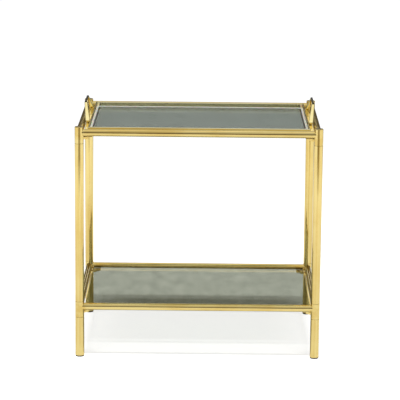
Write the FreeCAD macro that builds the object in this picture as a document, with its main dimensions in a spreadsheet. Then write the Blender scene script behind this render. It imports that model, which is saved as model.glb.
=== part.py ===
import FreeCAD, Part
import os
from FreeCAD import Placement, Rotation, Vector

# Tiered side table: four sectional brass posts, two tiers of round rails,
# a fixed glass shelf below and a lift-off glass tray with two end handles on top.
# Millimetres, +Z up, origin on the floor under the middle of the table, front is -Y.

doc = FreeCAD.newDocument("tiered_side_table")

# Driving sizes
driving_sizes = [
    # overall layout, measured between post and rail centre lines
    ("post_span_x", 528.0),
    ("post_span_y", 380.0),
    ("lower_tier_height", 115.5),
    ("upper_tier_height", 511.0),
    # posts
    ("post_diameter", 20.0),
    ("post_wall", 1.5),
    ("fit_clearance", 0.3),
    ("cut_overrun", 1.0),
    # corner fittings
    ("fitting_height", 35.0),
    ("fitting_axis_height", 23.5),
    ("boss_reach", 12.0),
    ("boss_bore_depth", 6.0),
    ("rod_hole_diameter", 9.0),
    # bushings that join the post sections
    ("joint_gap", 0.8),
    ("joint_flange_diameter", 18.6),
    ("bushing_length", 16.0),
    # tie rod through each post
    ("rod_diameter", 8.0),
    ("rod_seat_depth", 6.0),
    # feet
    ("foot_plug_length", 16.0),
    ("glide_diameter", 19.0),
    ("glide_height", 3.0),
    ("glide_edge_round", 0.8),
    ("glide_stem_diameter", 6.0),
    ("glide_stem_length", 6.0),
    # caps on the post tops
    ("cap_height", 2.0),
    ("cap_edge_round", 1.2),
    ("cap_stem_diameter", 10.0),
    ("cap_stem_length", 6.0),
    # rails and what holds them
    ("rail_diameter", 16.0),
    ("rail_wall", 1.2),
    ("spigot_length", 34.0),
    ("set_screw_diameter", 4.0),
    ("set_screw_length", 5.0),
    ("set_screw_place", 24.0),
    ("set_screw_key_width", 2.2),
    ("set_screw_key_depth", 2.5),
    # corner rests under the shelf and the tray
    ("rest_drop", 8.4),
    ("rest_thickness", 2.6),
    ("rest_near", 9.0),
    ("rest_far", 28.0),
    ("rest_corner_cut", 5.0),
    ("rest_lug_reach", 23.0),
    ("rest_lug_width", 10.0),
    ("rest_lug_height", 5.0),
    ("rest_screw_place", 13.0),
    ("rest_screw_diameter", 3.0),
    ("rest_screw_head_diameter", 5.6),
    ("rest_screw_head_height", 1.4),
    ("rest_screw_length", 5.6),
    # pads on the rests
    ("pad_thickness", 1.4),
    ("shelf_pad_diameter", 10.0),
    ("shelf_pad_place", 21.5),
    ("tray_pad_diameter", 7.0),
    ("tray_pad_place", 22.5),
    # lower shelf glass
    ("shelf_glass_inset", 10.5),
    ("shelf_glass_thickness", 5.0),
    ("glass_corner_round", 4.0),
    ("glass_edge_chamfer", 0.6),
    # lift-off tray
    ("tray_inset", 17.5),
    ("rim_thickness", 4.5),
    ("rim_height", 16.4),
    ("rim_edge_round", 2.1),
    ("ledge_width", 6.0),
    ("ledge_thickness", 1.2),
    ("tray_glass_thickness", 4.0),
    ("tray_glass_clearance", 0.5),
    ("bead_width", 2.6),
    ("bead_height", 1.6),
    ("bead_edge_round", 1.0),
    # tray handles
    ("handle_foot_spread", 168.0),
    ("handle_top_spread", 74.0),
    ("leg_foot_width", 10.0),
    ("leg_top_width", 6.5),
    ("leg_depth", 6.5),
    ("leg_edge_round", 1.6),
    ("leg_lug_width", 7.5),
    ("leg_lug_depth", 14.0),
    ("leg_lug_height", 14.4),
    ("grip_rise", 34.1),
    ("grip_outset", 11.5),
    ("grip_width", 4.5),
    ("grip_thickness", 2.5),
    ("grip_overhang", 0.5),
    ("grip_edge_round", 0.9),
    ("handle_screw_diameter", 4.0),
    ("handle_screw_head_diameter", 7.0),
    ("handle_screw_head_height", 1.4),
    ("handle_screw_length", 10.3),
    ("handle_screw_drop", 8.0),
]

sheet = doc.addObject("Spreadsheet::Sheet", "sizes")
for row, (alias, value) in enumerate(driving_sizes, start=1):
    sheet.set("A%d" % row, alias)
    sheet.set("B%d" % row, str(value))
    sheet.setAlias("B%d" % row, alias)

# Sizes that follow from the driving ones
derived_sizes = [
    ("post_bore", "post_diameter - 2 * post_wall"),
    ("rail_bore", "rail_diameter - 2 * rail_wall"),
    ("half_span_x", "post_span_x / 2"),
    ("half_span_y", "post_span_y / 2"),
    ("lower_fitting_base", "lower_tier_height - fitting_axis_height"),
    ("upper_fitting_base", "upper_tier_height - fitting_axis_height"),
    ("lower_fitting_top", "lower_fitting_base + fitting_height"),
    ("upper_fitting_top", "upper_fitting_base + fitting_height"),
    ("leg_top", "lower_fitting_base - joint_gap"),
    ("post_tube_base", "lower_fitting_top + joint_gap"),
    ("post_tube_top", "upper_fitting_base - joint_gap"),
    ("spigot_diameter", "rail_bore - 2 * fit_clearance"),
    ("spigot_base", "boss_reach - boss_bore_depth"),
    ("plug_diameter", "post_bore - 2 * fit_clearance"),
    ("rod_base", "glide_height + foot_plug_length - rod_seat_depth"),
    ("rod_top", "upper_fitting_top - cap_stem_length"),
    ("rail_length_x", "post_span_x - 2 * boss_reach"),
    ("rail_length_y", "post_span_y - 2 * boss_reach"),
    ("rest_size", "rest_far - rest_near"),
    ("tray_half_x", "half_span_x - tray_inset"),
    ("tray_half_y", "half_span_y - tray_inset"),
    ("tray_base", "upper_tier_height - rest_drop + pad_thickness"),
    ("tray_top", "tray_base + rim_height"),
    ("shelf_glass_base", "lower_tier_height - rest_drop + pad_thickness"),
    ("grip_length", "handle_top_spread + leg_depth + 2 * grip_overhang"),
]
first_derived_row = len(driving_sizes) + 1
for row, (alias, rule) in enumerate(derived_sizes, start=first_derived_row):
    sheet.set("A%d" % row, alias)
    sheet.set("B%d" % row, "=" + rule)
    sheet.setAlias("B%d" % row, alias)
doc.recompute()

known_names = [alias for alias, value in driving_sizes] + [alias for alias, rule in derived_sizes]


def bound(rule):
    """Write a rule in sheet names as an expression on the sheet's cells."""
    words = []
    word = ""
    for letter in rule + " ":
        if letter.isalnum() or letter == "_":
            word += letter
            continue
        if word in known_names:
            word = "sizes." + word
        words.append(word)
        words.append(letter)
        word = ""
    return "".join(words).strip()


def read(alias):
    """The sheet's own number for one name."""
    return float(sheet.get(alias))


# Turns that send a primitive's own +Z along a direction
turn_to = {
    "z": Rotation(),
    "x": Rotation(Vector(0, 1, 0), 90),
    "y": Rotation(Vector(1, 0, 0), -90),
}


def place(item, x="0", y="0", z="0", turn=None):
    item.Placement = Placement(Vector(0, 0, 0), turn if turn is not None else Rotation())
    item.setExpression("Placement.Base.x", bound(x))
    item.setExpression("Placement.Base.y", bound(y))
    item.setExpression("Placement.Base.z", bound(z))
    return item


def spun(angle):
    return Rotation(Vector(0, 0, 1), angle)


def box(name, length, width, height, x="0", y="0", z="0", turn=None):
    item = doc.addObject("Part::Box", name)
    item.setExpression("Length", bound(length))
    item.setExpression("Width", bound(width))
    item.setExpression("Height", bound(height))
    return place(item, x, y, z, turn)


def cylinder(name, diameter, height, x="0", y="0", z="0", axis="z"):
    item = doc.addObject("Part::Cylinder", name)
    item.setExpression("Radius", bound("(" + diameter + ") / 2"))
    item.setExpression("Height", bound(height))
    return place(item, x, y, z, turn_to[axis])


def cut(name, base, tools):
    if len(tools) == 1:
        tool = tools[0]
    else:
        tool = fuse(name + "_tools", tools)
    item = doc.addObject("Part::Cut", name)
    item.Base = base
    item.Tool = tool
    return item


def fuse(name, items):
    item = doc.addObject("Part::MultiFuse", name)
    item.Shapes = items
    return item


def group(name, items):
    item = doc.addObject("Part::Compound", name)
    item.Links = items
    return item


nodes = []


def node(item, label):
    item.Label = label
    nodes.append(item)
    return item


def rounded(name, base, kind, alias, wanted):
    """Round or chamfer the edges of base that the test picks, by one named size."""
    doc.recompute()
    amount = read(alias)
    chosen = []
    for number, edge in enumerate(base.Shape.Edges, start=1):
        if wanted(edge):
            chosen.append((number, amount, amount))
    if not chosen:
        raise RuntimeError(name + " found no edge to round")
    item = doc.addObject("Part::" + kind, name)
    item.Base = base
    item.Edges = chosen
    return item


def level_edge(edge, height, tolerance):
    box_of_edge = edge.BoundBox
    return abs(box_of_edge.ZMin - height) < tolerance and abs(box_of_edge.ZMax - height) < tolerance


def upright_edge(edge, tolerance):
    box_of_edge = edge.BoundBox
    return box_of_edge.XLength < tolerance and box_of_edge.YLength < tolerance


near_enough = read("fit_clearance") / 10

# The four corners: name, side in x, side in y and the turn that points
# the fitting's two bosses to the inside of the table
corners = [
    ("front_left", -1, -1, 0),
    ("front_right", 1, -1, 90),
    ("rear_right", 1, 1, 180),
    ("rear_left", -1, 1, 270),
]


def corner_x(side):
    return "half_span_x" if side > 0 else "-half_span_x"


def corner_y(side):
    return "half_span_y" if side > 0 else "-half_span_y"


# Inward directions of the two rails at each corner: step in x, step in y, turn
def inward(side_x, side_y):
    along_x = ("x", -side_x, 0, 0 if side_x < 0 else 180)
    along_y = ("y", 0, -side_y, 90 if side_y < 0 else 270)
    return [along_x, along_y]


def stepped(centre, step, distance):
    if step == 0:
        return centre
    sign = " + " if step > 0 else " - "
    return centre + sign + "(" + distance + ")"


# Post sections


def tube_section(name, base, top, side_x, side_y):
    length = top + " - (" + base + ")"
    outer = cylinder(name + "_outer", "post_diameter", length)
    bore = cylinder(name + "_bore", "post_bore", length + " + 2 * cut_overrun", z="-cut_overrun")
    tube = cut(name, outer, [bore])
    place(tube, corner_x(side_x), corner_y(side_y), base)
    return node(tube, name)


# Corner fitting: a sleeve with two rail bosses, a lug for the corner rest,
# a hole for the tie rod and a seat for the cap's stem. Its own origin is on
# the post's axis at the sleeve's lower end, with the bosses along +X and +Y.


def corner_fitting(name, base, side_x, side_y, angle):
    sleeve = cylinder(name + "_sleeve", "post_diameter", "fitting_height")
    boss_x = cylinder(name + "_boss_x", "rail_diameter", "boss_reach", z="fitting_axis_height", axis="x")
    boss_y = cylinder(name + "_boss_y", "rail_diameter", "boss_reach", z="fitting_axis_height", axis="y")
    lug = box(
        name + "_lug",
        "rest_lug_reach",
        "rest_lug_width",
        "rest_lug_height",
        x="rest_lug_width / 2 * sin(45)",
        y="-rest_lug_width / 2 * cos(45)",
        z="fitting_axis_height - rest_drop - rest_thickness - rest_lug_height",
        turn=spun(45),
    )
    body = fuse(name + "_body", [sleeve, boss_x, boss_y, lug])
    rod_hole = cylinder(
        name + "_rod_hole", "rod_hole_diameter", "fitting_height + 2 * cut_overrun", z="-cut_overrun"
    )
    bore_x = cylinder(
        name + "_bore_x",
        "rail_bore",
        "boss_bore_depth + cut_overrun",
        x="spigot_base",
        z="fitting_axis_height",
        axis="x",
    )
    bore_y = cylinder(
        name + "_bore_y",
        "rail_bore",
        "boss_bore_depth + cut_overrun",
        y="spigot_base",
        z="fitting_axis_height",
        axis="y",
    )
    cap_seat = cylinder(
        name + "_cap_seat",
        "cap_stem_diameter + 2 * fit_clearance",
        "cap_stem_length + fit_clearance + cut_overrun",
        z="fitting_height - cap_stem_length - fit_clearance",
    )
    screw_hole = cylinder(
        name + "_screw_hole",
        "rest_screw_diameter + 2 * fit_clearance",
        "rest_screw_length - rest_thickness + fit_clearance + cut_overrun",
        x="rest_screw_place",
        y="rest_screw_place",
        z="fitting_axis_height - rest_drop - rest_screw_length - fit_clearance",
    )
    fitting = cut(name, body, [rod_hole, bore_x, bore_y, cap_seat, screw_hole])
    place(fitting, corner_x(side_x), corner_y(side_y), base, spun(angle))
    return node(fitting, name)


# Bushing: a thin flange that shows as the joint line, and a spigot into the tube
# on one side of it. It points down into the tube below or up into the tube above.


def bushing(name, seat, points_up, side_x, side_y):
    flange = cylinder(name + "_flange", "joint_flange_diameter", "joint_gap")
    spigot_start = "joint_gap" if points_up else "-bushing_length"
    spigot = cylinder(name + "_spigot", "plug_diameter", "bushing_length", z=spigot_start)
    body = fuse(name + "_body", [flange, spigot])
    hole = cylinder(
        name + "_hole",
        "rod_diameter + 2 * fit_clearance",
        "2 * bushing_length + joint_gap + 2 * cut_overrun",
        z="-bushing_length - cut_overrun",
    )
    turned = cut(name, body, [hole])
    return place(turned, corner_x(side_x), corner_y(side_y), seat)


for corner, side_x, side_y, angle in corners:
    tube_section("leg_tube_" + corner, "glide_height", "leg_top", side_x, side_y)
    corner_fitting("lower_corner_" + corner, "lower_fitting_base", side_x, side_y, angle)
    tube_section("post_tube_" + corner, "post_tube_base", "post_tube_top", side_x, side_y)
    corner_fitting("upper_corner_" + corner, "upper_fitting_base", side_x, side_y, angle)

leg_bushings = []
post_base_bushings = []
post_top_bushings = []
for corner, side_x, side_y, angle in corners:
    leg_bushings.append(bushing("leg_bushing_" + corner, "leg_top", False, side_x, side_y))
    post_base_bushings.append(bushing("base_bushing_" + corner, "lower_fitting_top", True, side_x, side_y))
    post_top_bushings.append(bushing("top_bushing_" + corner, "post_tube_top", False, side_x, side_y))
node(group("leg_joint_bushings", leg_bushings), "leg_joint_bushings")
node(group("post_base_bushings", post_base_bushings), "post_base_bushings")
node(group("post_top_bushings", post_top_bushings), "post_top_bushings")

# Tie rods, foot plugs, glides and caps
rods = []
plugs = []
for corner, side_x, side_y, angle in corners:
    x_place = corner_x(side_x)
    y_place = corner_y(side_y)
    rod = cylinder("tie_rod_" + corner, "rod_diameter", "rod_top - rod_base")
    rods.append(place(rod, x_place, y_place, "rod_base"))

    plug_body = cylinder("foot_plug_body_" + corner, "plug_diameter", "foot_plug_length")
    rod_seat = cylinder(
        "foot_plug_seat_" + corner,
        "rod_diameter + 2 * fit_clearance",
        "rod_seat_depth + cut_overrun",
        z="foot_plug_length - rod_seat_depth",
    )
    stem_hole = cylinder(
        "foot_plug_hole_" + corner,
        "glide_stem_diameter + 2 * fit_clearance",
        "glide_stem_length + fit_clearance + cut_overrun",
        z="-cut_overrun",
    )
    plug = cut("foot_plug_" + corner, plug_body, [rod_seat, stem_hole])
    plugs.append(place(plug, x_place, y_place, "glide_height"))

    pad = cylinder("glide_pad_" + corner, "glide_diameter", "glide_height")
    pad_round = rounded(
        "glide_round_" + corner,
        pad,
        "Fillet",
        "glide_edge_round",
        lambda edge: level_edge(edge, 0, near_enough),
    )
    stem = cylinder("glide_stem_" + corner, "glide_stem_diameter", "glide_stem_length", z="glide_height")
    glide = fuse("foot_glide_" + corner, [pad_round, stem])
    place(glide, x_place, y_place, "0")
    node(glide, "foot_glide_" + corner)

    disc = cylinder("cap_disc_" + corner, "post_diameter", "cap_height")
    disc_round = rounded(
        "cap_round_" + corner,
        disc,
        "Fillet",
        "cap_edge_round",
        lambda edge: level_edge(edge, read("cap_height"), near_enough),
    )
    cap_stem = cylinder("cap_stem_" + corner, "cap_stem_diameter", "cap_stem_length", z="-cap_stem_length")
    cap = fuse("post_cap_" + corner, [disc_round, cap_stem])
    place(cap, x_place, y_place, "upper_fitting_top")
    node(cap, "post_cap_" + corner)
node(group("tie_rods", rods), "tie_rods")
node(group("foot_plugs", plugs), "foot_plugs")

# Rails: tubes between the bosses, with a set screw hole under each end


def rail(name, length, x, y, z, angle):
    half = "(" + length + ") / 2"
    outer = cylinder(name + "_outer", "rail_diameter", length, x="-" + half, axis="x")
    bore = cylinder(
        name + "_bore",
        "rail_bore",
        length + " + 2 * cut_overrun",
        x="-" + half + " - cut_overrun",
        axis="x",
    )
    holes = [bore]
    for end, sign in (("start", "-"), ("finish", "")):
        place_along = sign + "(" + half + " - (set_screw_place - boss_reach))"
        holes.append(
            cylinder(
                name + "_screw_hole_" + end,
                "set_screw_diameter + 2 * fit_clearance",
                "rail_diameter / 2 + cut_overrun",
                x=place_along,
                z="-rail_diameter / 2 - cut_overrun",
            )
        )
    tube = cut(name, outer, holes)
    place(tube, x, y, z, spun(angle))
    return node(tube, name)


tiers = [("lower", "lower_tier_height"), ("upper", "upper_tier_height")]
for tier, height in tiers:
    rail(tier + "_rail_front", "rail_length_x", "0", "-half_span_y", height, 0)
    rail(tier + "_rail_rear", "rail_length_x", "0", "half_span_y", height, 0)
    rail(tier + "_rail_left", "rail_length_y", "-half_span_x", "0", height, 90)
    rail(tier + "_rail_right", "rail_length_y", "half_span_x", "0", height, 90)

# Spigots inside the rail ends, and the set screws that hold the rails on them
spigots = []
set_screws = []
for tier, height in tiers:
    for corner, side_x, side_y, angle in corners:
        for axis, step_x, step_y, turn in inward(side_x, side_y):
            tag = tier + "_" + corner + "_" + axis
            pin = cylinder("spigot_pin_" + tag, "spigot_diameter", "spigot_length", axis="x")
            seat = cylinder(
                "spigot_seat_" + tag,
                "set_screw_diameter + 2 * fit_clearance",
                "spigot_diameter",
                x="set_screw_place - spigot_base",
                z="-rail_diameter / 2 + set_screw_length - spigot_diameter",
            )
            spigot = cut("spigot_" + tag, pin, [seat])
            place(
                spigot,
                stepped(corner_x(side_x), step_x, "spigot_base"),
                stepped(corner_y(side_y), step_y, "spigot_base"),
                height,
                spun(turn),
            )
            spigots.append(spigot)

            shank = cylinder("set_screw_shank_" + tag, "set_screw_diameter", "set_screw_length")
            key = doc.addObject("Part::Prism", "set_screw_key_" + tag)
            key.Polygon = 6
            key.setExpression("Circumradius", bound("set_screw_key_width / 2"))
            key.setExpression("Height", bound("set_screw_key_depth + cut_overrun"))
            place(key, z="-cut_overrun")
            screw = cut("set_screw_" + tag, shank, [key])
            place(
                screw,
                stepped(corner_x(side_x), step_x, "set_screw_place"),
                stepped(corner_y(side_y), step_y, "set_screw_place"),
                height + " - rail_diameter / 2",
            )
            set_screws.append(screw)
node(group("rail_spigots", spigots), "rail_spigots")
node(group("rail_set_screws", set_screws), "rail_set_screws")

# Corner rests: flat plates on the fittings' lugs, screwed down, with a pad on each


def corner_rest(name, height, side_x, side_y, angle):
    plate = box(name + "_plate", "rest_size", "rest_size", "rest_thickness", x="rest_near", y="rest_near")
    clipped = rounded(
        name + "_clipped",
        plate,
        "Chamfer",
        "rest_corner_cut",
        lambda edge: upright_edge(edge, near_enough)
        and edge.BoundBox.XMin > read("rest_far") - near_enough
        and edge.BoundBox.YMin > read("rest_far") - near_enough,
    )
    hole = cylinder(
        name + "_hole",
        "rest_screw_diameter + 2 * fit_clearance",
        "rest_thickness + 2 * cut_overrun",
        x="rest_screw_place",
        y="rest_screw_place",
        z="-cut_overrun",
    )
    head_seat = cylinder(
        name + "_head_seat",
        "rest_screw_head_diameter + 2 * fit_clearance",
        "rest_screw_head_height + cut_overrun",
        x="rest_screw_place",
        y="rest_screw_place",
        z="rest_thickness - rest_screw_head_height",
    )
    plate_cut = cut(name, clipped, [hole, head_seat])
    underside = height + " - rest_drop - rest_thickness"
    return place(plate_cut, corner_x(side_x), corner_y(side_y), underside, spun(angle))


def corner_point(side_x, side_y, distance):
    return stepped(corner_x(side_x), -side_x, distance), stepped(corner_y(side_y), -side_y, distance)


rests = {"lower": [], "upper": []}
rest_screws = []
shelf_pads = []
tray_pads = []
for tier, height in tiers:
    for corner, side_x, side_y, angle in corners:
        tag = tier + "_" + corner
        rests[tier].append(corner_rest("corner_rest_" + tag, height, side_x, side_y, angle))

        screw_x, screw_y = corner_point(side_x, side_y, "rest_screw_place")
        screw_shank = cylinder(
            "rest_screw_shank_" + tag,
            "rest_screw_diameter",
            "rest_screw_length",
            z="-rest_screw_length",
        )
        screw_head = cylinder(
            "rest_screw_head_" + tag,
            "rest_screw_head_diameter",
            "rest_screw_head_height",
            z="-rest_screw_head_height",
        )
        rest_screw = fuse("rest_screw_" + tag, [screw_shank, screw_head])
        rest_screws.append(place(rest_screw, screw_x, screw_y, height + " - rest_drop"))

        if tier == "lower":
            pad_x, pad_y = corner_point(side_x, side_y, "shelf_pad_place")
            pad = cylinder("shelf_pad_" + corner, "shelf_pad_diameter", "pad_thickness")
            shelf_pads.append(place(pad, pad_x, pad_y, height + " - rest_drop"))
        else:
            pad_x, pad_y = corner_point(side_x, side_y, "tray_pad_place")
            pad = cylinder("tray_pad_" + corner, "tray_pad_diameter", "pad_thickness")
            tray_pads.append(place(pad, pad_x, pad_y, height + " - rest_drop"))
node(group("shelf_rests", rests["lower"]), "shelf_rests")
node(group("tray_rests", rests["upper"]), "tray_rests")
node(group("rest_screws", rest_screws), "rest_screws")
node(group("shelf_pads", shelf_pads), "shelf_pads")
node(group("tray_pads", tray_pads), "tray_pads")

# Glass panes


def pane(name, half_x, half_y, thickness, z):
    sheet_of_glass = box(
        name + "_sheet",
        "2 * (" + half_x + ")",
        "2 * (" + half_y + ")",
        thickness,
        x="-(" + half_x + ")",
        y="-(" + half_y + ")",
    )
    corners_round = rounded(
        name + "_corners",
        sheet_of_glass,
        "Fillet",
        "glass_corner_round",
        lambda edge: upright_edge(edge, near_enough),
    )
    doc.recompute()
    top = corners_round.Shape.BoundBox.ZMax
    polished = rounded(
        name,
        corners_round,
        "Chamfer",
        "glass_edge_chamfer",
        lambda edge: level_edge(edge, 0, near_enough) or level_edge(edge, top, near_enough),
    )
    place(polished, "0", "0", z)
    return node(polished, name)


pane(
    "shelf_glass",
    "half_span_x - shelf_glass_inset",
    "half_span_y - shelf_glass_inset",
    "shelf_glass_thickness",
    "shelf_glass_base",
)
pane(
    "tray_glass",
    "tray_half_x - rim_thickness - tray_glass_clearance",
    "tray_half_y - rim_thickness - tray_glass_clearance",
    "tray_glass_thickness",
    "tray_base + ledge_thickness",
)

# Tray rim: four mitred strips, inside them four mitred ledges that carry the glass,
# and on the glass four mitred beads along the strips.
# A strip's own frame: rim's outer face at y = 0, thickness to +Y, length along X.


def mitred_bar(name, half_length, from_face, to_face, height):
    bar = doc.addObject("Part::Wedge", name)
    bar.setExpression("Xmin", bound("-(" + half_length + ") + " + from_face))
    bar.setExpression("Xmax", bound(half_length + " - (" + from_face + ")"))
    bar.setExpression("X2min", bound("-(" + half_length + ") + " + to_face))
    bar.setExpression("X2max", bound(half_length + " - (" + to_face + ")"))
    bar.setExpression("Ymin", bound(from_face))
    bar.setExpression("Ymax", bound(to_face))
    bar.setExpression("Zmin", "0")
    bar.setExpression("Zmax", bound(height))
    bar.setExpression("Z2min", "0")
    bar.setExpression("Z2max", bound(height))
    return bar


def rim_strip(name, half_length, x, y, angle, screws):
    upright = mitred_bar(name + "_upright", half_length, "0", "rim_thickness", "rim_height")
    strip = rounded(
        name if not screws else name + "_soft_top",
        upright,
        "Fillet",
        "rim_edge_round",
        lambda edge: level_edge(edge, read("rim_height"), near_enough)
        and edge.BoundBox.YLength < near_enough,
    )
    if screws:
        holes = []
        for end, sign in (("start", "-"), ("finish", "")):
            holes.append(
                cylinder(
                    name + "_hole_" + end,
                    "handle_screw_diameter + 2 * fit_clearance",
                    "handle_screw_length - leg_lug_width + fit_clearance + cut_overrun",
                    x=sign + "handle_foot_spread / 2",
                    y="-cut_overrun",
                    z="rim_height - handle_screw_drop",
                    axis="y",
                )
            )
        strip = cut(name, strip, holes)
    place(strip, x, y, "tray_base", spun(angle))
    return node(strip, name)


rim_strip("tray_rim_front", "tray_half_x", "0", "-tray_half_y", 0, False)
rim_strip("tray_rim_right", "tray_half_y", "tray_half_x", "0", 90, True)
rim_strip("tray_rim_rear", "tray_half_x", "0", "tray_half_y", 180, False)
rim_strip("tray_rim_left", "tray_half_y", "-tray_half_x", "0", 270, True)

ledges = []
beads = []
for side, half_length, x, y, angle in (
    ("front", "tray_half_x", "0", "-tray_half_y", 0),
    ("right", "tray_half_y", "tray_half_x", "0", 90),
    ("rear", "tray_half_x", "0", "tray_half_y", 180),
    ("left", "tray_half_y", "-tray_half_x", "0", 270),
):
    ledge_face = "rim_thickness + ledge_width"
    ledge = mitred_bar("ledge_" + side, half_length, "rim_thickness", ledge_face, "ledge_thickness")
    ledges.append(place(ledge, x, y, "tray_base", spun(angle)))

    bead_face = "rim_thickness + bead_width"
    bar = mitred_bar("bead_bar_" + side, half_length, "rim_thickness", bead_face, "bead_height")
    bead = rounded(
        "bead_" + side,
        bar,
        "Fillet",
        "bead_edge_round",
        lambda edge: level_edge(edge, read("bead_height"), near_enough)
        and edge.BoundBox.YLength < near_enough
        and edge.BoundBox.YMin > read("rim_thickness") + near_enough,
    )
    bead_base = "tray_base + ledge_thickness + tray_glass_thickness"
    beads.append(place(bead, x, y, bead_base, spun(angle)))
node(group("tray_ledges", ledges), "tray_ledges")
node(group("glazing_beads", beads), "glazing_beads")

# Tray handles. Each leg is built in the frame of a side rim seen from outside:
# the rim's outer face is y = 0, outward is -Y, along the rim is X, rim top is z = 0.


def handle_leg(name, side_x, end):
    block = box(
        name + "_block",
        "leg_lug_depth",
        "leg_lug_width",
        "leg_lug_height",
        x="-leg_lug_depth / 2",
        y="-leg_lug_width",
        z="-leg_lug_height",
    )
    lug = rounded(
        name + "_lug",
        block,
        "Fillet",
        "leg_edge_round",
        lambda edge: upright_edge(edge, near_enough)
        and edge.BoundBox.YMax < near_enough - read("leg_lug_width"),
    )
    shift = "(handle_foot_spread - handle_top_spread) / 2"
    inward_shift = shift if end < 0 else "-" + shift
    # The wedge's own Y runs up, so its Z runs outward after the turn
    strap = doc.addObject("Part::Wedge", name + "_strap")
    strap.setExpression("Xmin", bound("-leg_depth / 2"))
    strap.setExpression("Xmax", bound("leg_depth / 2"))
    strap.setExpression("X2min", bound(inward_shift + " - leg_depth / 2"))
    strap.setExpression("X2max", bound(inward_shift + " + leg_depth / 2"))
    strap.setExpression("Ymin", "0")
    strap.setExpression("Ymax", bound("grip_rise"))
    strap.setExpression("Zmin", "0")
    strap.setExpression("Zmax", bound("leg_foot_width"))
    strap.setExpression("Z2min", bound("grip_outset - leg_top_width / 2"))
    strap.setExpression("Z2max", bound("grip_outset + leg_top_width / 2"))
    place(strap, turn=Rotation(Vector(1, 0, 0), 90))
    soft_strap = rounded(
        name + "_soft_strap",
        strap,
        "Fillet",
        "leg_edge_round",
        lambda edge: edge.BoundBox.ZLength > read("grip_rise") - near_enough,
    )
    body = fuse(name + "_body", [lug, soft_strap])
    hole = cylinder(
        name + "_hole",
        "handle_screw_diameter + 2 * fit_clearance",
        "leg_lug_width + 2 * cut_overrun",
        y="-leg_lug_width - cut_overrun",
        z="-handle_screw_drop",
        axis="y",
    )
    head_seat = cylinder(
        name + "_head_seat",
        "handle_screw_head_diameter + 2 * fit_clearance",
        "handle_screw_head_height + cut_overrun",
        y="-leg_lug_width - cut_overrun",
        z="-handle_screw_drop",
        axis="y",
    )
    leg = cut(name, body, [hole, head_seat])
    angle = 90 if side_x > 0 else 270
    along = "handle_foot_spread / 2" if end > 0 else "-handle_foot_spread / 2"
    if side_x > 0:
        place(leg, "tray_half_x", along, "tray_top", spun(angle))
    else:
        place(leg, "-tray_half_x", "-(" + along + ")", "tray_top", spun(angle))
    return node(leg, name)


handle_leg("handle_leg_right_front", 1, -1)
handle_leg("handle_leg_right_rear", 1, 1)
handle_leg("handle_leg_left_rear", -1, -1)
handle_leg("handle_leg_left_front", -1, 1)

for side, side_x in (("left", -1), ("right", 1)):
    bar = box(
        "handle_bar_" + side,
        "grip_width",
        "grip_length",
        "grip_thickness",
        x="-grip_width / 2",
        y="-grip_length / 2",
    )
    grip = rounded(
        "handle_grip_" + side,
        bar,
        "Fillet",
        "grip_edge_round",
        lambda edge: level_edge(edge, read("grip_thickness"), near_enough)
        or upright_edge(edge, near_enough),
    )
    centre = "tray_half_x + grip_outset"
    place(grip, centre if side_x > 0 else "-(" + centre + ")", "0", "tray_top + grip_rise")
    node(grip, "handle_grip_" + side)

handle_screws = []
for side, side_x in (("left", -1), ("right", 1)):
    for end, sign in (("front", "-"), ("rear", "")):
        tag = side + "_" + end
        shank = cylinder(
            "handle_screw_shank_" + tag,
            "handle_screw_diameter",
            "handle_screw_length",
            axis="x",
        )
        head = cylinder(
            "handle_screw_head_" + tag,
            "handle_screw_head_diameter",
            "handle_screw_head_height",
            axis="x",
        )
        handle_screw = fuse("handle_screw_" + tag, [shank, head])
        outer_face = "tray_half_x + leg_lug_width"
        place(
            handle_screw,
            outer_face if side_x > 0 else "-(" + outer_face + ")",
            sign + "handle_foot_spread / 2",
            "tray_top - handle_screw_drop",
            spun(180 if side_x > 0 else 0),
        )
        handle_screws.append(handle_screw)
node(group("handle_screws", handle_screws), "handle_screws")

# Check every object, then write each piece
doc.recompute()
faults = []
for item in doc.Objects:
    if "Invalid" in item.State or "Error" in item.State:
        faults.append(item.Name + " " + str(item.State))
for item in nodes:
    shape = item.Shape
    if shape.isNull() or not shape.isValid() or not shape.Solids:
        faults.append(item.Label + " has no valid solid")
if faults:
    raise RuntimeError("; ".join(faults))

os.makedirs("parts", exist_ok=True)
for item in nodes:
    item.Shape.exportStep("parts/" + item.Label + ".step")
    box_of_node = item.Shape.BoundBox
    print(
        "%-28s solids %2d  x %.1f..%.1f  y %.1f..%.1f  z %.1f..%.1f"
        % (
            item.Label,
            len(item.Shape.Solids),
            box_of_node.XMin,
            box_of_node.XMax,
            box_of_node.YMin,
            box_of_node.YMax,
            box_of_node.ZMin,
            box_of_node.ZMax,
        )
    )
print("nodes", len(nodes))
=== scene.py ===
import math

import bpy
from mathutils import Matrix, Vector

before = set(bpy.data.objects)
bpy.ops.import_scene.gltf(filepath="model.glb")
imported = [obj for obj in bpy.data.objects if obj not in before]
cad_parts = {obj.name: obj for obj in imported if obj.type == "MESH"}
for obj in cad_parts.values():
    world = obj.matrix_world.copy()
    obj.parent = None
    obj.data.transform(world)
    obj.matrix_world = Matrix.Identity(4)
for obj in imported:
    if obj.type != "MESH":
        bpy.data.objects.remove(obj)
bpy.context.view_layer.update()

# Looks of the tiered side table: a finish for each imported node, then the floor, world, lamp and camera.
# Lengths are in metres. The front of the table faces -Y

scene = bpy.context.scene
scene.view_settings.view_transform = "Standard"


# Shader node helpers


def new_material(name):
    """Return a new material, its node tree and its shader node."""
    material = bpy.data.materials.new(name)
    material.use_nodes = True
    tree = material.node_tree
    return material, tree, tree.nodes["Principled BSDF"]


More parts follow.
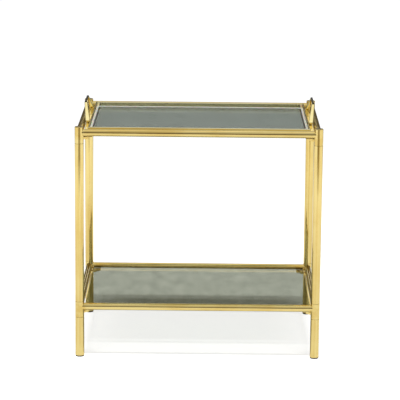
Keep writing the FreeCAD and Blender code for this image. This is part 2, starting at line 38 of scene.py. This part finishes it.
def object_coordinates(tree, scale=(1.0, 1.0, 1.0)):
    """Return the place on the object, times a scale for each axis."""
    coords = tree.nodes.new("ShaderNodeTexCoord")
    mapping = tree.nodes.new("ShaderNodeMapping")
    mapping.inputs["Scale"].default_value = scale
    tree.links.new(coords.outputs["Object"], mapping.inputs["Vector"])
    return mapping.outputs["Vector"]


def noise(tree, vector, scale, detail=3.0, roughness=0.5):
    """Return a noise value, which lies mostly between 0.3 and 0.7."""
    texture = tree.nodes.new("ShaderNodeTexNoise")
    texture.inputs["Scale"].default_value = scale
    texture.inputs["Detail"].default_value = detail
    texture.inputs["Roughness"].default_value = roughness
    tree.links.new(vector, texture.inputs["Vector"])
    return texture.outputs["Fac"]


def spread(tree, value, low, high, from_low=0.3, from_high=0.7):
    """Map a value from one range to another, held at both ends."""
    ranged = tree.nodes.new("ShaderNodeMapRange")
    ranged.inputs["From Min"].default_value = from_low
    ranged.inputs["From Max"].default_value = from_high
    ranged.inputs["To Min"].default_value = low
    ranged.inputs["To Max"].default_value = high
    tree.links.new(value, ranged.inputs["Value"])
    return ranged.outputs["Result"]


def ramp(tree, value, stops):
    """Turn a value into a colour; each stop is a value and its colour."""
    coloured = tree.nodes.new("ShaderNodeValToRGB")
    elements = coloured.color_ramp.elements
    for index, (position, colour) in ((0, stops[0]), (1, stops[-1])):
        elements[index].position = position
        elements[index].color = (*colour, 1.0)
    for position, colour in stops[1:-1]:
        element = elements.new(position)
        element.color = (*colour, 1.0)
    tree.links.new(value, coloured.inputs["Fac"])
    return coloured.outputs["Color"]


def two_tones(tree, value, low, high, from_low=0.3, from_high=0.7):
    """Turn a value into a colour between two colours."""
    return ramp(tree, value, [(from_low, low), (from_high, high)])


def bump(tree, shader, height, strength, distance):
    """Give a shader a bump from a height value."""
    node = tree.nodes.new("ShaderNodeBump")
    node.inputs["Strength"].default_value = strength
    node.inputs["Distance"].default_value = distance
    tree.links.new(height, node.inputs["Height"])
    tree.links.new(node.outputs["Normal"], shader.inputs["Normal"])


def mixed(tree, factor, low, high):
    """Mix two colours, each a fixed one or a node's output."""
    mix = tree.nodes.new("ShaderNodeMix")
    mix.data_type = "RGBA"
    tree.links.new(factor, mix.inputs["Factor"])
    colour_inputs = [socket for socket in mix.inputs if socket.type == "RGBA"]
    for value, socket in zip((low, high), colour_inputs):
        if isinstance(value, tuple):
            socket.default_value = value
        else:
            tree.links.new(value, socket)
    return next(socket for socket in mix.outputs if socket.type == "RGBA")


def math_node(tree, operation, first, second=0.0):
    """Return a sum, product or the like of numbers or node outputs."""
    node = tree.nodes.new("ShaderNodeMath")
    node.operation = operation
    for value, socket in zip((first, second), node.inputs):
        if isinstance(value, float):
            socket.default_value = value
        else:
            tree.links.new(value, socket)
    return node.outputs["Value"]


def grey(tone):
    return (tone, tone, tone, 1.0)


# Brass: colours where it is bright and where it is tarnished; some finishes are lighter or darker as
# painted light or painted shade, as noted

frame_tones = ((0.96, 0.77, 0.31), (0.84, 0.61, 0.19))
# Lit brass: lighter than the frame. It is a painted sheen on the handle legs, and painted light on the
# tray ledges, which sit in shade under the glass
lit_brass_tones = ((0.99, 0.87, 0.44), (0.95, 0.79, 0.34))
# Rim tones: paler, whiter brass, a painted highlight for the whitish glint along the tray rims
rim_glint_tones = ((0.99, 0.90, 0.56), (0.92, 0.79, 0.42))
# Shelf rest tones: darker brass
shelf_rest_tones = ((0.62, 0.48, 0.18), (0.46, 0.34, 0.11))
# Tray rest tones: very dark brass, painted shade where the rests sit under the upper rails
tray_rest_shade_tones = ((0.20, 0.145, 0.045), (0.12, 0.085, 0.025))
dark_joint_tones = ((0.42, 0.32, 0.10), (0.30, 0.22, 0.06))
light_joint_tones = ((0.80, 0.62, 0.24), (0.66, 0.48, 0.15))

# Brass: lowest and highest roughness of each finish

polished = (0.06, 0.13)
cast_and_polished = (0.08, 0.16)
hand_polished = (0.04, 0.09)
rim_polished = (0.07, 0.14)
satin = (0.45, 0.6)
rubbed = (0.25, 0.4)
turned = (0.2, 0.3)
rest_dull = (0.3, 0.45)

# Brass: how close the marks are along each axis; drawn stock has long marks along its length

drawn_across = 900.0
drawn_along = 14.0
drawn_x = (drawn_along, drawn_across, drawn_across)
drawn_y = (drawn_across, drawn_along, drawn_across)
drawn_z = (drawn_across, drawn_across, drawn_along)
cast_marks = (260.0, 260.0, 260.0)
joint_marks = (400.0, 400.0, 400.0)


def brass(name, tones, roughness, marks_scale):
    """Brass with faint tarnish clouds and streaks, smudges in its gloss, and fine marks."""
    material, tree, shader = new_material(name)
    bright, tarnished = tones
    shader.inputs["Metallic"].default_value = 1.0
    vector = object_coordinates(tree)
    marks_vector = object_coordinates(tree, marks_scale)
    clouds = noise(tree, vector, scale=9.0, detail=4.0, roughness=0.6)
    streaks = noise(tree, marks_vector, scale=0.22, detail=2.0, roughness=0.6)
    clouds_and_streaks = math_node(tree, "ADD", clouds, streaks)
    shine = math_node(tree, "MULTIPLY", clouds_and_streaks, 0.5)
    colour = two_tones(tree, shine, tarnished, bright, from_low=0.40, from_high=0.56)
    tree.links.new(colour, shader.inputs["Base Color"])
    smudges = noise(tree, vector, scale=26.0, detail=5.0, roughness=0.6)
    tree.links.new(spread(tree, smudges, *roughness), shader.inputs["Roughness"])
    marks = noise(tree, marks_vector, scale=1.0, detail=2.0)
    bump(tree, shader, marks, strength=0.05, distance=0.0002)
    return material


brass_up = brass("brass_posts", frame_tones, polished, drawn_z)
brass_x = brass("brass_long_rails", frame_tones, polished, drawn_x)
brass_y = brass("brass_side_rails", frame_tones, polished, drawn_y)
brass_cast = brass("brass_fittings", frame_tones, cast_and_polished, cast_marks)
# Handles: lit brass tones, a painted sheen
brass_handle = brass("brass_handles", lit_brass_tones, hand_polished, cast_marks)
# Rims: paler, whiter brass, a painted highlight
rim_x = brass("brass_long_rims", rim_glint_tones, rim_polished, drawn_x)
rim_y = brass("brass_side_rims", rim_glint_tones, rim_polished, drawn_y)
# Ledges: lit brass tones, painted light against their shade under the tray glass
brass_satin = brass("brass_ledges", lit_brass_tones, satin, cast_marks)
brass_darker_shelf_rests = brass("brass_shelf_rests", shelf_rest_tones, rubbed, cast_marks)
joint_dark = brass("brass_joint_dark", dark_joint_tones, rubbed, joint_marks)
joint_light = brass("brass_joint_light", light_joint_tones, turned, joint_marks)
# Tray rests: very dark brass, painted shade under the upper rails
brass_shaded_rests = brass("brass_rests_in_shade", tray_rest_shade_tones, rest_dull, cast_marks)


# Glass, steel, rubber, grips and beads


def smoked_glass(name, tint, shadow_tone, roughness, film_tones):
    """Tinted sheet glass with faint wiping smudges and a mottled film; its shadow is a plain grey."""
    material, tree, shader = new_material(name)
    shader.inputs["Transmission Weight"].default_value = 1.0
    shader.inputs["IOR"].default_value = 1.5
    wiped = object_coordinates(tree, (1.0, 2.2, 1.0))
    wipes = noise(tree, wiped, scale=7.0, detail=5.0, roughness=0.65)
    tree.links.new(spread(tree, wipes, *roughness), shader.inputs["Roughness"])
    mottled = object_coordinates(tree, (1.0, 0.45, 1.0))
    film = noise(tree, mottled, scale=36.0, detail=6.0, roughness=0.7)
    thick_tone, thin_tone = film_tones
    thick = tuple(part * thick_tone for part in tint)
    thin = tuple(part * thin_tone for part in tint)
    colour = two_tones(tree, film, thick, thin, from_low=0.32, from_high=0.68)
    tree.links.new(colour, shader.inputs["Base Color"])
    clear = tree.nodes.new("ShaderNodeBsdfTransparent")
    clear.inputs["Color"].default_value = grey(shadow_tone)
    path = tree.nodes.new("ShaderNodeLightPath")
    mix = tree.nodes.new("ShaderNodeMixShader")
    tree.links.new(path.outputs["Is Shadow Ray"], mix.inputs["Fac"])
    tree.links.new(shader.outputs["BSDF"], mix.inputs[1])
    tree.links.new(clear.outputs["BSDF"], mix.inputs[2])
    tree.links.new(mix.outputs["Shader"], tree.nodes["Material Output"].inputs["Surface"])
    return material


def turned_steel(name):
    """Plain steel with fine turning marks."""
    material, tree, shader = new_material(name)
    shader.inputs["Metallic"].default_value = 1.0
    marks = noise(tree, object_coordinates(tree, (60.0, 900.0, 900.0)), scale=1.0)
    colour = two_tones(tree, marks, (0.42, 0.42, 0.41), (0.60, 0.60, 0.58))
    tree.links.new(colour, shader.inputs["Base Color"])
    tree.links.new(spread(tree, marks, 0.25, 0.42), shader.inputs["Roughness"])
    bump(tree, shader, marks, strength=0.1, distance=0.0001)
    return material


def moulded_rubber(name):
    """Dark brown rubber with a fine grain."""
    material, tree, shader = new_material(name)
    grain = noise(tree, object_coordinates(tree), scale=700.0)
    colour = two_tones(tree, grain, (0.060, 0.045, 0.030), (0.110, 0.085, 0.058))
    tree.links.new(colour, shader.inputs["Base Color"])
    tree.links.new(spread(tree, grain, 0.55, 0.8), shader.inputs["Roughness"])
    bump(tree, shader, grain, strength=0.25, distance=0.0002)
    return material


def dark_patchy_metal(name):
    """Dark metal, a little lighter in random patches."""
    material, tree, shader = new_material(name)
    shader.inputs["Metallic"].default_value = 0.6
    vector = object_coordinates(tree)
    patches = noise(tree, vector, scale=60.0, detail=4.0, roughness=0.6)
    colour = two_tones(tree, patches, (0.022, 0.018, 0.013), (0.050, 0.040, 0.027), from_low=0.35)
    tree.links.new(colour, shader.inputs["Base Color"])
    tree.links.new(spread(tree, patches, 0.3, 0.48), shader.inputs["Roughness"])
    grain = noise(tree, vector, scale=900.0, detail=2.0)
    bump(tree, shader, grain, strength=0.12, distance=0.0001)
    return material


def milky_bead(name):
    """Milky glazing bead, a little glossy, with faint yellowing."""
    material, tree, shader = new_material(name)
    shader.inputs["Subsurface Weight"].default_value = 0.2
    shader.inputs["Subsurface Scale"].default_value = 0.002
    vector = object_coordinates(tree)
    patches = noise(tree, vector, scale=45.0, detail=4.0, roughness=0.6)
    colour = two_tones(tree, patches, (0.88, 0.85, 0.78), (0.94, 0.93, 0.89))
    tree.links.new(colour, shader.inputs["Base Color"])
    tree.links.new(spread(tree, patches, 0.28, 0.42), shader.inputs["Roughness"])
    grain = noise(tree, vector, scale=600.0, detail=2.0)
    bump(tree, shader, grain, strength=0.08, distance=0.0001)
    return material


tray_glass = smoked_glass(
    "smoked_tray_glass",
    tint=(0.387, 0.477, 0.424),
    shadow_tone=0.03,
    roughness=(0.08, 0.20),
    film_tones=(0.94, 1.05),
)
shelf_glass = smoked_glass(
    "smoked_shelf_glass",
    tint=(0.627, 0.675, 0.562),
    shadow_tone=0.50,
    roughness=(0.01, 0.04),
    film_tones=(0.86, 1.10),
)
steel = turned_steel("turned_steel")
rubber = moulded_rubber("moulded_rubber")
dark_grip = dark_patchy_metal("dark_grip_metal")
pale_bead = milky_bead("milky_bead")


# Finish of each node, by how its name starts

finishes = {
    "leg_tube": brass_up,
    "post_tube": brass_up,
    "post_cap": brass_up,
    "lower_corner": brass_cast,
    "upper_corner": brass_cast,
    "leg_joint_bushings": joint_light,
    "post_base_bushings": joint_light,
    "post_top_bushings": joint_dark,
    "shelf_rests": brass_darker_shelf_rests,
    "tray_rests": brass_shaded_rests,
    "tray_ledges": brass_satin,
    "handle_leg": brass_handle,
    "handle_grip": dark_grip,
    "handle_screws": steel,
    "tie_rods": steel,
    "foot_plugs": steel,
    "rail_spigots": steel,
    "rail_set_screws": steel,
    "rest_screws": steel,
    "foot_glide": rubber,
    "shelf_pads": rubber,
    "tray_pads": rubber,
    "glazing_beads": pale_bead,
    "shelf_glass": shelf_glass,
    "tray_glass": tray_glass,
}
for side in ("front", "rear"):
    finishes["lower_rail_" + side] = brass_x
    finishes["upper_rail_" + side] = brass_x
    finishes["tray_rim_" + side] = rim_x
for side in ("left", "right"):
    finishes["lower_rail_" + side] = brass_y
    finishes["upper_rail_" + side] = brass_y
    finishes["tray_rim_" + side] = rim_y


def finish_for(name):
    """Return a node's material, and stop at a node that has none."""
    for start, finish in finishes.items():
        if name.startswith(start):
            return finish
    raise KeyError("no finish for " + name)


for name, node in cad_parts.items():
    finish = finish_for(name)
    if node.material_slots:
        for slot in node.material_slots:
            slot.material = finish
    else:
        node.data.materials.append(finish)


# Stage: one floor, pale near the table and darker far behind it and far in front of it. The darker zones
# are painted shade, which leaves a painted pool of light around the table

floor_sides = 12.0
floor_front = -12.0
floor_rear = 7.4
rear_dimming_y = (1.2, 2.4)
front_dimming_y = (-2.5, -1.8)
front_dimming_x = (0.9, 1.7)
# Floor colours: near the table, and in the painted shade far behind and far in front
near_tones = ((0.90, 0.90, 0.90), (0.92, 0.92, 0.92))
rear_tones = ((0.22, 0.22, 0.22), (0.24, 0.24, 0.24))
front_tones = ((0.23, 0.17, 0.07), (0.25, 0.19, 0.08))

# Lift of the floor towards white, a painted glow: all of it for the camera, and shares of it for metal
# and glass

lift_near = 0.68
lift_dimmed = 0.92
gloss_distances = (0.8, 2.0)
gloss_shares = (0.10, 0.32)
gloss_kept_dimmed = 0.4
glass_share_near = 0.01
glass_share_dimmed = 0.69


def floor_material():
    """Speckled floor with a painted pool of light, pale near the table and in painted shade far from it.
    A painted glow lifts it, and the camera sees it white, apart from the table's shadow.
    """
    material, tree, shader = new_material("pale_floor")
    vector = object_coordinates(tree)
    apart = tree.nodes.new("ShaderNodeSeparateXYZ")
    tree.links.new(vector, apart.inputs["Vector"])
    rear = spread(tree, apart.outputs["Y"], 0.0, 1.0, *rear_dimming_y)
    sideways = math_node(tree, "ABSOLUTE", apart.outputs["X"])
    straight_ahead = spread(tree, sideways, 1.0, 0.0, *front_dimming_x)
    far_ahead = spread(tree, apart.outputs["Y"], 1.0, 0.0, *front_dimming_y)
    front = math_node(tree, "MULTIPLY", straight_ahead, far_ahead)
    dim = math_node(tree, "MAXIMUM", rear, front)

    speckle = noise(tree, vector, scale=40.0)
    near_colour = two_tones(tree, speckle, *near_tones)
    rear_colour = two_tones(tree, speckle, *rear_tones)
    front_colour = two_tones(tree, speckle, *front_tones)
    toward_rear = mixed(tree, rear, near_colour, rear_colour)
    tree.links.new(mixed(tree, front, toward_rear, front_colour), shader.inputs["Base Color"])
    shader.inputs["Roughness"].default_value = 0.9
    shader.inputs["Specular IOR Level"].default_value = 0.0

    length = tree.nodes.new("ShaderNodeVectorMath")
    length.operation = "LENGTH"
    tree.links.new(vector, length.inputs[0])
    far_share = spread(tree, length.outputs["Value"], *gloss_shares, *gloss_distances)
    dim_share = spread(tree, dim, 1.0, gloss_kept_dimmed, 0.0, 1.0)
    gloss_share = math_node(tree, "MULTIPLY", far_share, dim_share)
    glass_share = spread(tree, dim, glass_share_near, glass_share_dimmed, 0.0, 1.0)
    path = tree.nodes.new("ShaderNodeLightPath")
    in_gloss = math_node(tree, "MULTIPLY", path.outputs["Is Glossy Ray"], gloss_share)
    in_glass = math_node(tree, "MULTIPLY", path.outputs["Is Transmission Ray"], glass_share)
    in_either = math_node(tree, "ADD", in_gloss, in_glass)
    lift_share = math_node(tree, "ADD", path.outputs["Is Camera Ray"], in_either)
    lift = tree.nodes.new("ShaderNodeEmission")
    tree.links.new(mixed(tree, dim, grey(lift_near), grey(lift_dimmed)), lift.inputs["Color"])
    tree.links.new(lift_share, lift.inputs["Strength"])
    add = tree.nodes.new("ShaderNodeAddShader")
    tree.links.new(shader.outputs["BSDF"], add.inputs[0])
    tree.links.new(lift.outputs["Emission"], add.inputs[1])
    tree.links.new(add.outputs["Shader"], tree.nodes["Material Output"].inputs["Surface"])
    return material


floor_corners = [
    (-floor_sides, floor_front, 0.0),
    (floor_sides, floor_front, 0.0),
    (floor_sides, floor_rear, 0.0),
    (-floor_sides, floor_rear, 0.0),
]
floor_mesh = bpy.data.meshes.new("floor")
floor_mesh.from_pydata(floor_corners, [], [(0, 1, 2, 3)])
floor_mesh.materials.append(floor_material())
floor = bpy.data.objects.new("floor", floor_mesh)
bpy.context.collection.objects.link(floor)


# World: an even soft light, white to the camera and, near the horizon, through glass

even_tone = 0.20
white = grey(1.0)
horizon_heights = (0.0, 0.06)

# What metal and glass mirror: a studio of bands, each stop a height, from 0 at the horizon to 1 straight
# up, and its tone. One set of bands is behind the table, the other in front of it

behind = [
    (0.0, 0.07),
    (0.04, 0.10),
    (0.15, 0.12),
    (0.196, 0.13),
    (0.200, 1.0),
    (0.228, 1.0),
    (0.232, 0.07),
    (0.275, 0.07),
    (0.42, 0.58),
    (0.65, 0.64),
    (0.96, 0.54),
    (0.98, 1.0),
    (1.0, 1.0),
]
in_front = [
    (0.0, 0.05),
    (0.13, 0.05),
    (0.15, 0.26),
    (0.21, 0.26),
    (0.23, 0.05),
    (0.28, 0.05),
    (0.42, 0.46),
    (0.65, 0.58),
    (0.96, 0.50),
    (0.98, 1.0),
    (1.0, 1.0),
]
front_to_rear = (-0.4, 0.2)
warm_below = 0.13
warmth = (1.0, 0.84, 0.45)


def studio_bands(tree, height, bands):
    """Return the colour of the bands at a height; the dimmest ones are warm."""
    stops = []
    for place, tone in bands:
        tint = warmth if tone < warm_below else (1.0, 1.0, 1.0)
        stops.append((place, tuple(tone * part for part in tint)))
    return ramp(tree, height, stops)


def studio_world():
    world = bpy.data.worlds.new("studio")
    world.use_nodes = True
    tree = world.node_tree
    coords = tree.nodes.new("ShaderNodeTexCoord")
    apart = tree.nodes.new("ShaderNodeSeparateXYZ")
    tree.links.new(coords.outputs["Generated"], apart.inputs["Vector"])
    path = tree.nodes.new("ShaderNodeLightPath")
    height = apart.outputs["Z"]
    rear_share = spread(tree, apart.outputs["Y"], 0.0, 1.0, *front_to_rear)
    front_studio = studio_bands(tree, height, in_front)
    rear_studio = studio_bands(tree, height, behind)
    studio = mixed(tree, rear_share, front_studio, rear_studio)
    in_gloss = mixed(tree, path.outputs["Is Glossy Ray"], grey(even_tone), studio)
    near_horizon = spread(tree, height, 1.0, 0.0, *horizon_heights)
    looking_through = math_node(tree, "MULTIPLY", path.outputs["Is Transmission Ray"], near_horizon)
    through_glass = mixed(tree, looking_through, in_gloss, white)
    seen = mixed(tree, path.outputs["Is Camera Ray"], through_glass, white)
    sky = tree.nodes["Background"]
    sky.inputs["Strength"].default_value = 1.0
    tree.links.new(seen, sky.inputs["Color"])
    return world


scene.world = studio_world()


# Lamp: one long soft lamp high overhead, a little in front

lamp_tilt = math.radians(13.6)
lamp_distance = 12.0
lamp_length = 5.0
lamp_depth = 0.35
lamp_watts = 980.0

lamp_data = bpy.data.lights.new("overhead_soft", "AREA")
lamp_data.shape = "RECTANGLE"
lamp_data.size = lamp_length
lamp_data.size_y = lamp_depth
lamp_data.energy = lamp_watts
lamp = bpy.data.objects.new("overhead_soft", lamp_data)
lamp.location = (0.0, -lamp_distance * math.sin(lamp_tilt), lamp_distance * math.cos(lamp_tilt))
lamp.rotation_euler = (lamp_tilt, 0.0, 0.0)
lamp.visible_glossy = False
lamp.visible_transmission = False
bpy.context.collection.objects.link(lamp)


# Camera, fitted to the photograph's frame

image_pixels = 400.0
focal_pixels = 2066.8
sensor_mm = 36.0
camera_place = (0.0170, -4.672, 1.3246)
camera_range = 100.0
yaw = math.radians(-0.1715)
pitch = math.radians(12.126)
roll = math.radians(0.5255)

forward = Vector((math.sin(yaw) * math.cos(pitch), math.cos(yaw) * math.cos(pitch), -math.sin(pitch)))
level_right = Vector((math.cos(yaw), -math.sin(yaw), 0.0))
level_up = level_right.cross(forward)
right = math.cos(roll) * level_right + math.sin(roll) * level_up
up = -math.sin(roll) * level_right + math.cos(roll) * level_up
turn = Matrix((right, up, -forward)).transposed().to_4x4()

camera_data = bpy.data.cameras.new("camera")
camera_data.sensor_fit = "HORIZONTAL"
camera_data.sensor_width = sensor_mm
camera_data.lens = focal_pixels * sensor_mm / image_pixels
camera_data.clip_end = camera_range
camera = bpy.data.objects.new("camera", camera_data)
camera.matrix_world = Matrix.Translation(camera_place) @ turn
bpy.context.collection.objects.link(camera)
scene.camera = camera
